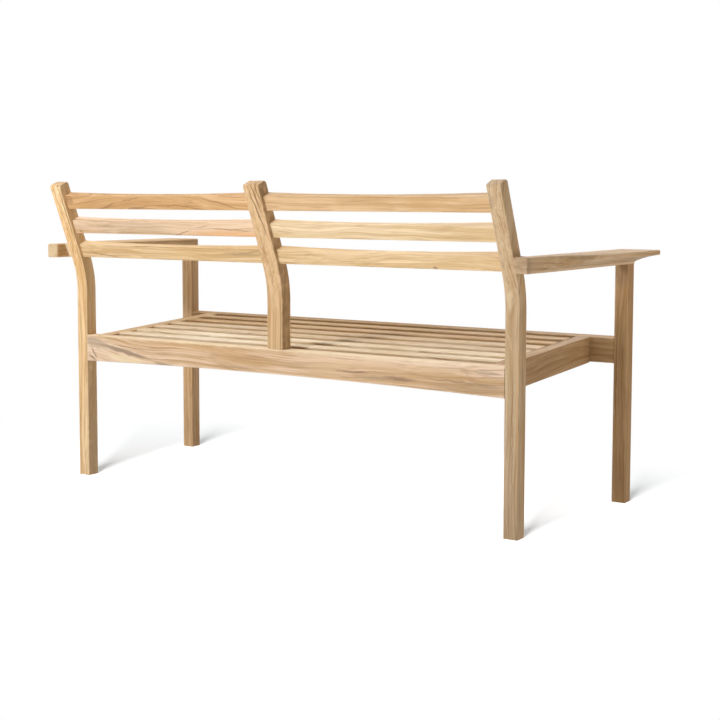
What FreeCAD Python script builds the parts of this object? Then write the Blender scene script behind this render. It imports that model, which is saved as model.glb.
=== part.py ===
"""Two-bay garden bench in teak, pegged and tenoned, with flared armrests.

Millimetres. +Z is up, the front of the bench faces -Y, and +X is the right-hand
side seen from the front. The origin lies on the ground at the middle of the bench.

Most pieces are drawn in one of three frames that share the X axis:
  UPRIGHT  the ground frame, with Y measured from the back face of the back legs
  LEAN     tilted back with the back legs: Z runs up the lean from the knee, and
           Y is 0 on the back face and negative towards the sitter
  SEAT     tilted with the seat: Z is 0 on the seat's top, and Y is 0 at the rear
           rail's front face and negative towards the front rail
"""
import FreeCAD, Part
import Sketcher
import math
import os

DIMENSIONS = [
    # stock and legs
    ("leg_size", 40.0, "square section of the legs, and depth of the rails"),
    ("back_span", 1500.0, "width over the outer faces of the back legs"),
    ("knee_height", 614.0, "height where the upright and leaning back faces would meet"),
    ("knee_radius", 250.0, "radius of the back face at the knee"),
    ("back_lean", 22.0, "lean of the back from upright, degrees"),
    ("lean_length", 288.0, "length of the leaning back face above the knee"),
    ("top_blend", 7.0, "rounding of the back legs' top corner behind"),
    ("top_front_blend", 10.0, "rounding of the back legs' top corner in front"),
    ("post_width", 52.0, "width of the middle back post"),
    ("arris", 3.0, "rounding of the long edges"),
    # seat frame
    ("seat_rear_height", 432.0, "top of the rear rail"),
    ("seat_slope", 3.25, "rise of the seat towards the front, degrees"),
    ("seat_run", 508.0, "clear depth between the rear and front rails"),
    ("rear_rail_height", 79.5, "height of the rear rail at its ends"),
    ("rail_arch", 9.5, "rise of the arch under the rear rail"),
    ("side_rail_height", 73.5, "height of the side rails"),
    ("side_rail_width", 40.0, "thickness of the side rails"),
    ("side_rail_inset", 17.0, "from a back leg's inner face to the side rail's outer face"),
    ("front_rail_height", 71.0, "height of the front rail's back face"),
    # seat slats and their bearer
    ("slat_count", 6.0, "number of seat slats"),
    ("seat_slat_width", 40.0, "width of a seat slat"),
    ("seat_slat_thickness", 22.0, "thickness of a seat slat"),
    ("bearer_width", 40.0, "width of the seat bearer"),
    ("bearer_height", 30.0, "height of the seat bearer"),
    # back slats
    ("back_slat_low", 53.5, "from the knee to the lower edge of the lowest back slat"),
    ("back_slat_pitch", 78.0, "spacing of the back slats along the lean"),
    ("back_slat_height", 43.0, "height of a back slat"),
    ("back_slat_inset", 10.0, "from the back of the leg to the back of a slat"),
    ("back_slat_end", 30.0, "thickness of a back slat at its ends"),
    ("back_slat_dish", 14.0, "hollow of a back slat's front face"),
    # armrests
    ("arm_height", 707.0, "top of the armrests"),
    ("arm_thickness", 40.0, "thickness of an armrest"),
    ("arm_width", 40.0, "width of an armrest at its narrow rear part"),
    ("arm_overhang", 67.0, "from the back legs' upright back face to the armrest's rear end"),
    ("spacer_thickness", 14.0, "gap between back leg and armrest, filled by the spacer"),
    ("spacer_inset", 3.0, "from the leg's faces to the spacer's faces"),
    ("flare_start", 62.0, "from the back legs' back face forward to the flare's first corner"),
    ("flare_radius", 300.0, "blend at the flare's first corner"),
    ("shoulder_start", 193.0, "from the back legs' back face forward to the shoulder corner"),
    ("shoulder_radius", 62.0, "blend at the shoulder"),
    ("shoulder_width", 121.0, "width of the armrest at the shoulder corner"),
    ("tip_width", 117.5, "width of the armrest at its front end"),
    ("tip_thickness", 12.8, "thickness of the armrest's outer edge at the tip"),
    ("tip_radius", 9.0, "rounding of the tip's outer corner in plan"),
    ("arm_corner", 5.0, "rounding of the armrest's other corners in plan"),
    ("arm_round", 3.5, "rounding of the armrest's upper edges"),
    ("cove_lip_height", 6.0, "height of the cove's lip above the armrest's underside"),
    ("cove_lip_radius", 8.0, "blend of the cove's lip"),
    ("cove_knee_reach", 35.0, "from the cove's lip out to where the hollow flattens"),
    ("cove_knee_height", 19.7, "height of the hollow there above the underside"),
    ("cove_radius", 200.0, "blend where the hollow flattens"),
    ("cut_margin", 10.0, "how far a cutting shape stands outside the wood"),
    # joinery
    ("tenon_thickness", 14.0, "thickness of the rail tenons"),
    ("tenon_length", 22.0, "length of the rail tenons"),
    ("tenon_shoulder", 10.0, "shoulder above and below the rail tenons"),
    ("leg_tenon", 20.0, "square tenon on the front leg's top"),
    ("slat_tenon_thickness", 10.0, "thickness of the slat tenons"),
    ("slat_tenon_length", 15.0, "length of the slat tenons"),
    ("slat_tenon_shoulder", 6.0, "shoulder at the edges of the slat tenons"),
    ("joint_clearance", 0.3, "clearance round a tenon and at its end"),
    ("dowel_diameter", 8.0, "diameter of the armrest dowels"),
    ("dowel_depth", 18.0, "depth of a dowel in the leg and in the armrest"),
    ("dowel_spacing", 18.0, "spacing of the two dowels in an armrest"),
    ("dowel_clearance", 0.1, "clearance round a dowel and at its ends"),
    ("screw_diameter", 4.5, "shank of a seat screw"),
    ("screw_head", 9.0, "head of a seat screw"),
    ("screw_bite", 14.0, "depth of a seat screw in its slat"),
    ("screw_clearance", 0.2, "clearance round a screw's shank"),
]

doc = FreeCAD.newDocument("GardenBench")
sheet = doc.addObject("Spreadsheet::Sheet", "Dims")
for row, (alias, value, note) in enumerate(DIMENSIONS, start=1):
    sheet.set(f"A{row}", str(value))
    sheet.setAlias(f"A{row}", alias)
    sheet.set(f"B{row}", note)
doc.recompute()


def dims(text):
    """Turn a formula in plain names into one that reads the sheet's cells."""
    names = sorted((alias for alias, _, _ in DIMENSIONS), key=len, reverse=True)
    words = []
    token = ""
    for letter in text + " ":
        if letter.isalnum() or letter == "_":
            token += letter
            continue
        words.append(f"Dims.{token}" if token in names else token)
        words.append(letter)
        token = ""
    return "".join(words).strip()


def number(text):
    """The present value of a formula."""
    return float(sheet.evalExpression(dims(text)))


def bind(thing, **formulas):
    """Bind properties to formulas; a double underscore stands for a dot."""
    for name, text in formulas.items():
        thing.setExpression(name.replace("__", "."), dims(text))


SEAT_SLATS = round(number("slat_count"))
BACK_SLATS = 3

# ---- formulas that several pieces share --------------------------------------------

LEG_INNER = "(back_span / 2 - leg_size)"
ARM_INNER = "(back_span / 2 + spacer_thickness)"
RAIL_OUTER = f"({LEG_INNER} - side_rail_inset)"
RAIL_INNER = f"({RAIL_OUTER} - side_rail_width)"
BENCH_FRONT = "(seat_run + 2 * leg_size)"
SEAT_LENGTH = "(seat_run / cos(seat_slope))"
ARM_UNDERSIDE = "(arm_height - arm_thickness)"
BAY_MIDDLE = f"(({LEG_INNER} + post_width / 2) / 2)"
BAY_WIDTH = f"({LEG_INNER} - post_width / 2)"
BACK_TOP = "(lean_length * sin(back_lean))"
MIDDLE = f"(({BENCH_FRONT} - {BACK_TOP}) / 2)"
SLAT_DEPTH = "(-back_slat_inset - back_slat_end / 2)"
DOWEL_HOLE = "(dowel_diameter + 2 * dowel_clearance)"
SLAT_GAP = f"(({SEAT_LENGTH} - slat_count * seat_slat_width) / (slat_count + 1))"


class Frame:
    """A frame turned about X by a tilt, at a place given in the ground frame."""

    def __init__(self, tilt, y, z):
        self.tilt = tilt
        self.y = y
        self.z = z

    def place(self, y, z):
        """Formulas of a point of this frame, in the ground frame."""
        if self.tilt == "0":
            return f"({self.y} + {y})", f"({self.z} + {z})"
        across = f"({self.y} + ({y}) * cos({self.tilt}) - ({z}) * sin({self.tilt}))"
        up = f"({self.z} + ({y}) * sin({self.tilt}) + ({z}) * cos({self.tilt}))"
        return across, up


UPRIGHT = Frame("0", "0", "0")
LEAN = Frame("(-back_lean)", "0", "knee_height")
SEAT = Frame("(-seat_slope)", "(-leg_size)", "seat_rear_height")


def turn(thing, tilt):
    """Turn an object about the X axis by a formula in degrees."""
    if tilt != "0":
        axis = FreeCAD.Vector(1, 0, 0)
        thing.Placement = FreeCAD.Placement(FreeCAD.Vector(), FreeCAD.Rotation(axis, -1))
        bind(thing, Placement__Rotation__Axis__x="1", Placement__Rotation__Angle=tilt)


def plain_body(label):
    """An empty body at the origin, such as one that is cut from another."""
    body = doc.addObject("PartDesign::Body", label.title().replace("_", ""))
    body.Label = label
    return body


def new_body(label, frame=UPRIGHT, x="0"):
    """An empty body that stands in the given frame, with its own X origin."""
    body = plain_body(label)
    turn(body, frame.tilt)
    bind(body, Placement__Base__x=x)
    bind(body, Placement__Base__y=f"{frame.y} + {MIDDLE}")
    bind(body, Placement__Base__z=frame.z)
    return body


def origin_plane(body, role):
    for feature in body.Origin.OriginFeatures:
        if feature.Role == role:
            return feature
    raise ValueError(role)


def new_sketch(body, role, name):
    sketch = body.newObject("Sketcher::SketchObject", name)
    sketch.AttachmentSupport = [(origin_plane(body, role), "")]
    sketch.MapMode = "FlatFace"
    return sketch


# ---- sketches ------------------------------------------------------------------------


def corner(x, y, blend=None, bow=None):
    """A corner of an outline: its place, the radius that blends it, and the radius
    of the side that leaves it (positive bows to the right of the way round)."""
    return {"x": x, "y": y, "blend": blend, "bow": bow}


def pin_point(sketch, geometry, point, at):
    """Hold a point of the sketch at the formulas of a corner."""
    for kind, text in (("DistanceX", at["x"]), ("DistanceY", at["y"])):
        index = sketch.addConstraint(
            Sketcher.Constraint(kind, -1, 1, geometry, point, number(text)))
        sketch.setExpression(f"Constraints[{index}]", dims(text))


def hold_radius(sketch, geometry, text):
    index = sketch.addConstraint(Sketcher.Constraint("Radius", geometry, number(text)))
    sketch.setExpression(f"Constraints[{index}]", dims(text))


def blend_arc(before, here, after, radius):
    """Arc tangent to the two sides at a corner, and whether it turns left."""
    into = (here - before).normalize()
    out = (after - here).normalize()
    left = into.cross(out).z > 0
    reach = radius * math.tan(into.getAngle(out) / 2)
    first = here - into * reach
    last = here + out * reach
    normal = FreeCAD.Vector(-into.y, into.x, 0) * (1 if left else -1)
    centre = first + normal * radius
    middle = centre + (here - centre).normalize() * radius
    return Part.Arc(first, middle, last), first, last, left


def bow_arc(start, end, radius):
    """Shallow arc from start to end, bowed to the right when radius is positive."""
    chord = end - start
    half = chord.Length / 2
    rise = abs(radius) - math.sqrt(radius * radius - half * half)
    side = FreeCAD.Vector(chord.y, -chord.x, 0).normalize() * math.copysign(rise, radius)
    return Part.Arc(start, (start + end) / 2 + side, end)


def outline(body, role, name, corners):
    """Closed sketch through corners, each sharp or blended, sides straight or bowed."""
    sketch = new_sketch(body, role, name)
    count = len(corners)
    points = [FreeCAD.Vector(number(c["x"]), number(c["y"]), 0) for c in corners]
    starts = list(points)
    ends = [points[(i + 1) % count] for i in range(count)]
    arcs = {}
    for i, here in enumerate(corners):
        if here["blend"]:
            arc, first, last, left = blend_arc(
                points[i - 1], points[i], points[(i + 1) % count], number(here["blend"]))
            arcs[i] = (arc, left)
            ends[i - 1] = first
            starts[i] = last
    sides = []
    for i, here in enumerate(corners):
        if here["bow"]:
            radius = number(here["bow"])
            geometry = sketch.addGeometry(bow_arc(starts[i], ends[i], radius), False)
            hold_radius(sketch, geometry, f"abs({here['bow']})")
            sides.append((geometry, (1, 2) if radius > 0 else (2, 1)))
        else:
            geometry = sketch.addGeometry(Part.LineSegment(starts[i], ends[i]), False)
            sides.append((geometry, (1, 2)))
    for i, here in enumerate(corners):
        incoming, (_, incoming_end) = sides[i - 1]
        outgoing, (outgoing_start, _) = sides[i]
        if i not in arcs:
            sketch.addConstraint(Sketcher.Constraint(
                "Coincident", incoming, incoming_end, outgoing, outgoing_start))
            pin_point(sketch, outgoing, outgoing_start, here)
            continue
        arc, left = arcs[i]
        geometry = sketch.addGeometry(arc, False)
        first, last = (1, 2) if left else (2, 1)
        sketch.addConstraint(Sketcher.Constraint(
            "Tangent", incoming, incoming_end, geometry, first))
        sketch.addConstraint(Sketcher.Constraint(
            "Tangent", geometry, last, outgoing, outgoing_start))
        hold_radius(sketch, geometry, here["blend"])
        mark = sketch.addGeometry(Part.Point(points[i]), True)
        pin_point(sketch, mark, 1, here)
        sketch.addConstraint(Sketcher.Constraint("PointOnObject", mark, 1, incoming))
        sketch.addConstraint(Sketcher.Constraint("PointOnObject", mark, 1, outgoing))
    return sketch


# ---- features --------------------------------------------------------------------------


def pad(body, sketch, length, both_ways=True):
    """Pad a sketch, to both sides of its plane or to the plane's own side."""
    feature = body.newObject("PartDesign::Pad", "Blank")
    feature.Profile = sketch
    feature.SideType = "Symmetric" if both_ways else "One side"
    bind(feature, Length=length)
    doc.recompute()
    return feature


def block(body, kind, name, size, centre, frame=UPRIGHT):
    """A box added to or cut from a body, by its size and centre in a frame."""
    feature = body.newObject(f"PartDesign::{kind}Box", name)
    turn(feature, frame.tilt)
    y, z = frame.place(f"{centre[1]} - ({size[1]}) / 2", f"{centre[2]} - ({size[2]}) / 2")
    bind(feature, Length=size[0], Width=size[1], Height=size[2])
    bind(feature, Placement__Base__x=f"{centre[0]} - ({size[0]}) / 2")
    bind(feature, Placement__Base__y=y, Placement__Base__z=z)
    return feature


def tenon(body, name, size, centre, frame=UPRIGHT):
    return block(body, "Additive", name, size, centre, frame)


def mortise(body, name, size, centre, frame=UPRIGHT):
    """The hole for a tenon of that size and centre, with clearance all round."""
    room = [f"{edge} + 2 * joint_clearance" for edge in size]
    return block(body, "Subtractive", name, room, centre, frame)


def round_edges(body, radius, wanted, name="Arris"):
    """Round the edges of the body's tip that a test picks."""
    doc.recompute()
    base = body.Tip
    names = [f"Edge{i}" for i, edge in enumerate(base.Shape.Edges, start=1) if wanted(edge)]
    feature = body.newObject("PartDesign::Fillet", name)
    feature.Base = (base, names)
    bind(feature, Radius=radius)
    doc.recompute()
    return feature


def runs_along(axis):
    """Test for edges that run along an axis and don't turn across the piece."""
    def wanted(edge):
        box = edge.BoundBox
        length = {"X": box.XLength, "Y": box.YLength, "Z": box.ZLength}
        return length[axis] > 1.0
    return wanted


def bore_x(body, name, diameter, length, start_x, y, z):
    """A round hole along X, from start_x towards +X."""
    feature = body.newObject("PartDesign::SubtractiveCylinder", name)
    turned = FreeCAD.Rotation(FreeCAD.Vector(0, 1, 0), 90)
    feature.Placement = FreeCAD.Placement(FreeCAD.Vector(), turned)
    bind(feature, Radius=f"({diameter}) / 2", Height=length)
    bind(feature, Placement__Base__x=start_x, Placement__Base__y=y, Placement__Base__z=z)
    return feature


# ---- back legs and middle post ---------------------------------------------------------


def bent_side(foot):
    """Side view of a back leg: upright, blended into the lean, rounded at the top."""
    front_top_y, front_top_z = LEAN.place("-leg_size", "lean_length")
    back_top_y, back_top_z = LEAN.place("0", "lean_length")
    return [
        corner("0", foot),
        corner("0", "knee_height", blend="knee_radius"),
        corner(back_top_y, back_top_z, blend="top_blend"),
        corner(front_top_y, front_top_z, blend="top_front_blend"),
        corner("-leg_size", "knee_height + leg_size * tan(back_lean / 2)",
               blend="knee_radius + leg_size"),
        corner("-leg_size", foot),
    ]


def side_edges(edge):
    """The edges round a bent piece's two flat sides, but not across its foot."""
    box = edge.BoundBox
    return box.ZLength > 0.5 and box.XLength < 0.5


def slat_tenon_size():
    return ("slat_tenon_length", "slat_tenon_thickness",
            "back_slat_height - 2 * slat_tenon_shoulder")


def slat_height(row):
    """Middle of a back slat, measured up the lean."""
    return f"back_slat_low + {row} * back_slat_pitch + back_slat_height / 2"


def slat_mortises(body, face, way):
    """Mortises for the three back slats, going the given way in from a face at X."""
    for row in range(BACK_SLATS):
        centre = (f"{face} + {way} * slat_tenon_length / 2", SLAT_DEPTH, slat_height(row))
        mortise(body, "SlatMortise", slat_tenon_size(), centre, LEAN)


def dowel_place(index):
    """Place of an armrest dowel: mid-depth in the leg, above or below mid-armrest."""
    drop = "(arm_height - arm_thickness / 2 - knee_height - leg_size / 2 * sin(back_lean))"
    return LEAN.place("-leg_size / 2",
                      f"{drop} / cos(back_lean) + {index - 0.5} * dowel_spacing")


def rear_rail_tenon():
    return ("tenon_length", "tenon_thickness", "rear_rail_height - 2 * tenon_shoulder")


RAIL_MIDDLE = "(seat_rear_height - rear_rail_height / 2)"


def make_back_leg(name, side):
    body = new_body(f"back_leg_{name}", x=f"{side} * (back_span - leg_size) / 2")
    pad(body, outline(body, "YZ_Plane", "Side", bent_side("0")), "leg_size")
    round_edges(body, "arris", side_edges)
    inner = f"({-side} * leg_size / 2)"
    slat_mortises(body, inner, side)
    mortise(body, "RailMortise", rear_rail_tenon(),
            (f"{inner} + {side} * tenon_length / 2", "-leg_size / 2", RAIL_MIDDLE))
    for index in range(2):
        y, z = dowel_place(index)
        outer = "leg_size / 2 - dowel_depth" if side > 0 else "-leg_size / 2"
        bore_x(body, "DowelHole", DOWEL_HOLE, "dowel_depth", outer, y, z)
    return body


def make_middle_post():
    body = new_body("middle_back_post")
    pad(body, outline(body, "YZ_Plane", "Side", bent_side("seat_rear_height")), "post_width")
    round_edges(body, "arris", side_edges)
    tenon(body, "Foot", POST_TENON, POST_TENON_CENTRE)
    slat_mortises(body, "post_width / 2", -1)
    slat_mortises(body, "-post_width / 2", 1)
    return body


POST_TENON = ("post_width - 2 * tenon_shoulder", "tenon_thickness", "tenon_length")
POST_TENON_CENTRE = ("0", "-leg_size / 2", "seat_rear_height - tenon_length / 2")


def make_back_slat(name, side, row):
    """A back slat: flat behind, dished in front, tenoned at both ends."""
    body = new_body(f"back_slat_{name}_{row + 1}", LEAN, f"{side} * {BAY_MIDDLE}")
    half = f"{BAY_WIDTH} / 2"
    front = "(-back_slat_inset - back_slat_end)"
    hollow = f"(({half})^2 + back_slat_dish^2) / (2 * back_slat_dish)"
    plan = outline(body, "XY_Plane", "Plan", [
        corner(f"-{half}", "-back_slat_inset"),
        corner(f"-{half}", front, bow=f"-({hollow})"),
        corner(half, front),
        corner(half, "-back_slat_inset"),
    ])
    bind(plan, AttachmentOffset__Base__z=slat_height(row))
    pad(body, plan, "back_slat_height")
    round_edges(body, "arris", runs_along("X"))
    for end in (-1, 1):
        centre = (f"{end} * ({half} + slat_tenon_length / 2)", SLAT_DEPTH, slat_height(row))
        tenon(body, "Tenon", slat_tenon_size(), centre)
    return body


# ---- seat frame ------------------------------------------------------------------------

SIDE_TENON = ("tenon_thickness", "tenon_length",
              "side_rail_height - 2 * tenon_shoulder")
BEARER_TENON = ("tenon_thickness", "tenon_length / 2", "bearer_height - tenon_shoulder")
SIDE_RAIL_X = f"({RAIL_OUTER} - side_rail_width / 2)"
BEARER_MIDDLE = "(-seat_slat_thickness - bearer_height / 2)"
SHOULDER_LEAN = "tan(seat_slope)"


def end_of_run(end, depth, reach):
    """Y in the seat frame, past the rear (0) or front (1) shoulder of a piece that
    runs from rail to rail, at a depth below the seat's top."""
    lean = f"({depth}) * {SHOULDER_LEAN}"
    if end == 0:
        return f"({lean} + {reach})"
    return f"(-{SEAT_LENGTH} + {lean} - {reach})"


def rail_mortises(body, end):
    """Mortises in the rear or front rail for the side rails and the seat bearer."""
    half = "side_rail_height / 2"
    for side in (-1, 1):
        centre = (f"{side} * {SIDE_RAIL_X}", end_of_run(end, half, "tenon_length / 2"),
                  f"-{half}")
        mortise(body, "SideMortise", SIDE_TENON, centre, SEAT)
    depth = f"-{BEARER_MIDDLE}"
    centre = ("0", end_of_run(end, depth, "tenon_length / 4"), BEARER_MIDDLE)
    mortise(body, "BearerMortise", BEARER_TENON, centre, SEAT)


def make_rear_rail():
    body = new_body("rear_rail")
    bottom = "(seat_rear_height - rear_rail_height)"
    arch = f"({LEG_INNER}^2 + rail_arch^2) / (2 * rail_arch)"
    front = outline(body, "XZ_Plane", "Front", [
        corner(LEG_INNER, bottom),
        corner(LEG_INNER, "seat_rear_height"),
        corner(f"-{LEG_INNER}", "seat_rear_height"),
        corner(f"-{LEG_INNER}", bottom, bow=f"-({arch})"),
    ])
    pad(body, front, "leg_size", both_ways=False)
    round_edges(body, "arris", runs_along("X"))
    for side in (-1, 1):
        tenon(body, "Tenon", rear_rail_tenon(),
              (f"{side} * ({LEG_INNER} + tenon_length / 2)", "-leg_size / 2", RAIL_MIDDLE))
    mortise(body, "PostMortise", POST_TENON, POST_TENON_CENTRE)
    rail_mortises(body, 0)
    return body


FRONT_TENON = ("tenon_length", "tenon_thickness", "front_rail_height - 2 * tenon_shoulder")
FRONT_RAIL_TOP = "(seat_rear_height + seat_run * tan(seat_slope))"
FRONT_TENON_Z = f"({FRONT_RAIL_TOP} - front_rail_height / 2)"


def make_front_rail():
    body = new_body("front_rail")
    back = "(-leg_size - seat_run)"
    bottom = f"({FRONT_RAIL_TOP} - front_rail_height)"
    side = outline(body, "YZ_Plane", "Side", [
        corner(back, bottom),
        corner(back, FRONT_RAIL_TOP),
        corner(f"-{BENCH_FRONT}", f"{FRONT_RAIL_TOP} + leg_size * tan(seat_slope)"),
        corner(f"-{BENCH_FRONT}", bottom),
    ])
    pad(body, side, f"2 * {ARM_INNER}")
    round_edges(body, "arris", runs_along("X"))
    for way in (-1, 1):
        tenon(body, "Tenon", FRONT_TENON,
              (f"{way} * ({ARM_INNER} + tenon_length / 2)", f"leg_size / 2 - {BENCH_FRONT}",
               FRONT_TENON_Z))
    rail_mortises(body, 1)
    return body


def run_side(top, bottom):
    """Side view of a piece that runs from the rear rail to the front rail, in the
    seat frame: its ends stand upright against the rails."""
    return [
        corner(end_of_run(0, bottom, "0"), f"-{bottom}"),
        corner(end_of_run(0, top, "0"), f"-{top}"),
        corner(end_of_run(1, top, "0"), f"-{top}"),
        corner(end_of_run(1, bottom, "0"), f"-{bottom}"),
    ]


SEAT_SLAT_TENON = ("slat_tenon_length", "seat_slat_width - 2 * slat_tenon_shoulder",
                   "slat_tenon_thickness")


def seat_slat_y(index):
    """Middle of a seat slat in the seat frame, counted from the rear."""
    return f"(-({index} + 1) * {SLAT_GAP} - ({index} + 0.5) * seat_slat_width)"


def make_side_rail(name, side):
    body = new_body(f"side_rail_{name}", SEAT, f"{side} * {SIDE_RAIL_X}")
    view = outline(body, "YZ_Plane", "Side", run_side("0", "side_rail_height"))
    pad(body, view, "side_rail_width")
    round_edges(body, "arris", runs_along("Y"))
    half = "side_rail_height / 2"
    tenon(body, "RearTenon", SIDE_TENON,
          ("0", end_of_run(0, half, "tenon_length / 2"), f"-{half}"))
    tenon(body, "FrontTenon", SIDE_TENON,
          ("0", end_of_run(1, half, "tenon_length / 2"), f"-{half}"))
    face = f"{-side} * side_rail_width / 2"
    for index in range(SEAT_SLATS):
        mortise(body, "SlatMortise", SEAT_SLAT_TENON,
                (f"{face} + {side} * slat_tenon_length / 2", seat_slat_y(index),
                 "-seat_slat_thickness / 2"))
    return body


def make_seat_slat(index):
    body = new_body(f"seat_slat_{index + 1}", SEAT)
    block(body, "Additive", "Blank",
          (f"2 * {RAIL_INNER}", "seat_slat_width", "seat_slat_thickness"),
          ("0", seat_slat_y(index), "-seat_slat_thickness / 2"))
    round_edges(body, "arris", runs_along("X"))
    for side in (-1, 1):
        tenon(body, "Tenon", SEAT_SLAT_TENON,
              (f"{side} * ({RAIL_INNER} + slat_tenon_length / 2)", seat_slat_y(index),
               "-seat_slat_thickness / 2"))
    bore_up(body, "ScrewHole", "-seat_slat_thickness", "screw_bite + screw_clearance",
            index)
    return body


def bore_up(body, name, start, length, index):
    """A seat screw's hole, from a height in the seat frame upwards."""
    feature = body.newObject("PartDesign::SubtractiveCylinder", name)
    bind(feature, Radius="screw_diameter / 2 + screw_clearance", Height=length)
    bind(feature, Placement__Base__y=seat_slat_y(index), Placement__Base__z=start)
    return feature


BEARER_BOTTOM = "(-seat_slat_thickness - bearer_height)"
HEAD_DEPTH = "((screw_head - screw_diameter) / 2)"


def make_seat_bearer():
    body = new_body("seat_bearer", SEAT)
    view = outline(body, "YZ_Plane", "Side",
                   run_side("seat_slat_thickness", "(seat_slat_thickness + bearer_height)"))
    pad(body, view, "bearer_width")
    round_edges(body, "arris", runs_along("Y"))
    for end, name in enumerate(("RearTenon", "FrontTenon")):
        depth = f"-{BEARER_MIDDLE}"
        tenon(body, name, BEARER_TENON,
              ("0", end_of_run(end, depth, "tenon_length / 4"), BEARER_MIDDLE))
    for index in range(SEAT_SLATS):
        bore_up(body, "ScrewHole", BEARER_BOTTOM, "bearer_height", index)
        sink = body.newObject("PartDesign::SubtractiveCone", "Countersink")
        bind(sink, Radius1="screw_head / 2", Radius2="screw_diameter / 2", Height=HEAD_DEPTH)
        bind(sink, Placement__Base__y=seat_slat_y(index), Placement__Base__z=BEARER_BOTTOM)
    return body


def make_seat_screws():
    """One countersunk wood screw up through the bearer into each slat."""
    body = new_body("seat_screws", SEAT)
    tip = "(-seat_slat_thickness + screw_bite)"
    profile = outline(body, "YZ_Plane", "Profile", [
        corner(seat_slat_y(0), BEARER_BOTTOM),
        corner(f"{seat_slat_y(0)} + screw_head / 2", BEARER_BOTTOM),
        corner(f"{seat_slat_y(0)} + screw_diameter / 2", f"{BEARER_BOTTOM} + {HEAD_DEPTH}"),
        corner(f"{seat_slat_y(0)} + screw_diameter / 2", f"{tip} - screw_diameter"),
        corner(seat_slat_y(0), tip),
    ])
    screw = body.newObject("PartDesign::Revolution", "Screw")
    screw.Profile = profile
    closing_side = 4
    screw.ReferenceAxis = (profile, [f"Edge{closing_side + 1}"])
    doc.recompute()
    row = body.newObject("PartDesign::LinearPattern", "Row")
    row.Originals = [screw]
    row.Direction = (origin_plane(body, "Y_Axis"), [""])
    row.Reversed = True
    bind(row, Length=f"({SLAT_GAP} + seat_slat_width) * (slat_count - 1)")
    bind(row, Occurrences="slat_count")
    body.Tip = row
    return body


# ---- front legs, armrests, spacers ------------------------------------------------------

FRONT_LEG_Y = f"(leg_size / 2 - {BENCH_FRONT})"
LEG_TENON = ("leg_tenon", "leg_tenon", "leg_tenon")
LEG_TENON_Z = f"({ARM_UNDERSIDE} + leg_tenon / 2)"


def make_front_leg(name, side):
    body = new_body(f"front_leg_{name}", x=f"{side} * ({ARM_INNER} + leg_size / 2)")
    block(body, "Additive", "Blank", ("leg_size", "leg_size", ARM_UNDERSIDE),
          ("0", FRONT_LEG_Y, f"{ARM_UNDERSIDE} / 2"))
    round_edges(body, "arris", runs_along("Z"))
    tenon(body, "Top", LEG_TENON, ("0", FRONT_LEG_Y, LEG_TENON_Z))
    inner = f"{-side} * leg_size / 2"
    mortise(body, "RailMortise", FRONT_TENON,
            (f"{inner} + {side} * tenon_length / 2", FRONT_LEG_Y, FRONT_TENON_Z))
    return body


def arm_plan(side):
    """Plan of an armrest, from its straight inner face (X 0) outwards."""
    return [
        corner("0", "arm_overhang", blend="arm_corner"),
        corner("0", f"-{BENCH_FRONT}", blend="arm_corner"),
        corner(f"{side} * tip_width", f"-{BENCH_FRONT}", blend="tip_radius"),
        corner(f"{side} * shoulder_width", "-shoulder_start", blend="shoulder_radius"),
        corner(f"{side} * arm_width", "-flare_start", blend="flare_radius"),
        corner(f"{side} * arm_width", "arm_overhang", blend="arm_corner"),
    ]


def cove_section(side):
    """Section of the wood cut from under the flare: a lip beside the leg, then a
    long hollow that thins the paddle towards its outer edge."""
    tip_reach = "(tip_width - arm_width)"
    tip_rise = "(arm_thickness - tip_thickness)"
    far = f"(arm_width + 2 * {tip_reach} - cove_knee_reach)"
    far_rise = f"({ARM_UNDERSIDE} + 2 * {tip_rise} - cove_knee_height)"
    below = f"({ARM_UNDERSIDE} - cut_margin)"
    return [
        corner(f"{side} * arm_width", below),
        corner(f"{side} * arm_width", f"{ARM_UNDERSIDE} + cove_lip_height",
               blend="cove_lip_radius"),
        corner(f"{side} * (arm_width + cove_knee_reach)",
               f"{ARM_UNDERSIDE} + cove_knee_height", blend="cove_radius"),
        corner(f"{side} * {far}", far_rise),
        corner(f"{side} * {far}", below),
    ]


def make_cove(name, side):
    """The wood that the cove removes, drawn like the armrest: its section, run from
    the front end to where the flare begins to leave the straight outer face."""
    body = plain_body(f"cove_{name}")
    section = outline(body, "XZ_Plane", "Section", cove_section(side))
    bind(section, AttachmentOffset__Base__z=f"{BENCH_FRONT} + cut_margin")
    flare = "atan((shoulder_width - arm_width) / (shoulder_start - flare_start))"
    start = f"(flare_start - flare_radius * tan({flare} / 2))"
    run = pad(body, section, f"{BENCH_FRONT} + cut_margin - {start}", both_ways=False)
    run.Reversed = True
    return body


def make_armrest(name, side):
    body = new_body(f"armrest_{name}", x=f"{side} * {ARM_INNER}")
    plan = outline(body, "XY_Plane", "Plan", arm_plan(side))
    bind(plan, AttachmentOffset__Base__z=ARM_UNDERSIDE)
    pad(body, plan, "arm_thickness", both_ways=False)
    top = number("arm_height")
    round_edges(body, "arm_round", lambda edge: edge.BoundBox.ZMin > top - 0.1, "TopRound")
    bottom = number(ARM_UNDERSIDE)
    round_edges(body, "arris", lambda edge: edge.BoundBox.ZMax < bottom + 0.1)
    before = body.Shape.Volume
    cove = make_cove(name, side)
    cut = body.newObject("PartDesign::Boolean", "Cove")
    cut.setObjects([cove])
    cut.Type = "Cut"
    doc.recompute()
    if body.Shape.Volume > before - 1:
        raise RuntimeError("the cove cut nothing")
    mortise(body, "LegMortise", LEG_TENON,
            (f"{side} * leg_size / 2", FRONT_LEG_Y, LEG_TENON_Z))
    for index in range(2):
        y, z = dowel_place(index)
        start = "0" if side > 0 else "-dowel_depth"
        bore_x(body, "DowelHole", DOWEL_HOLE, "dowel_depth", start, y, z)
    return body


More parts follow.
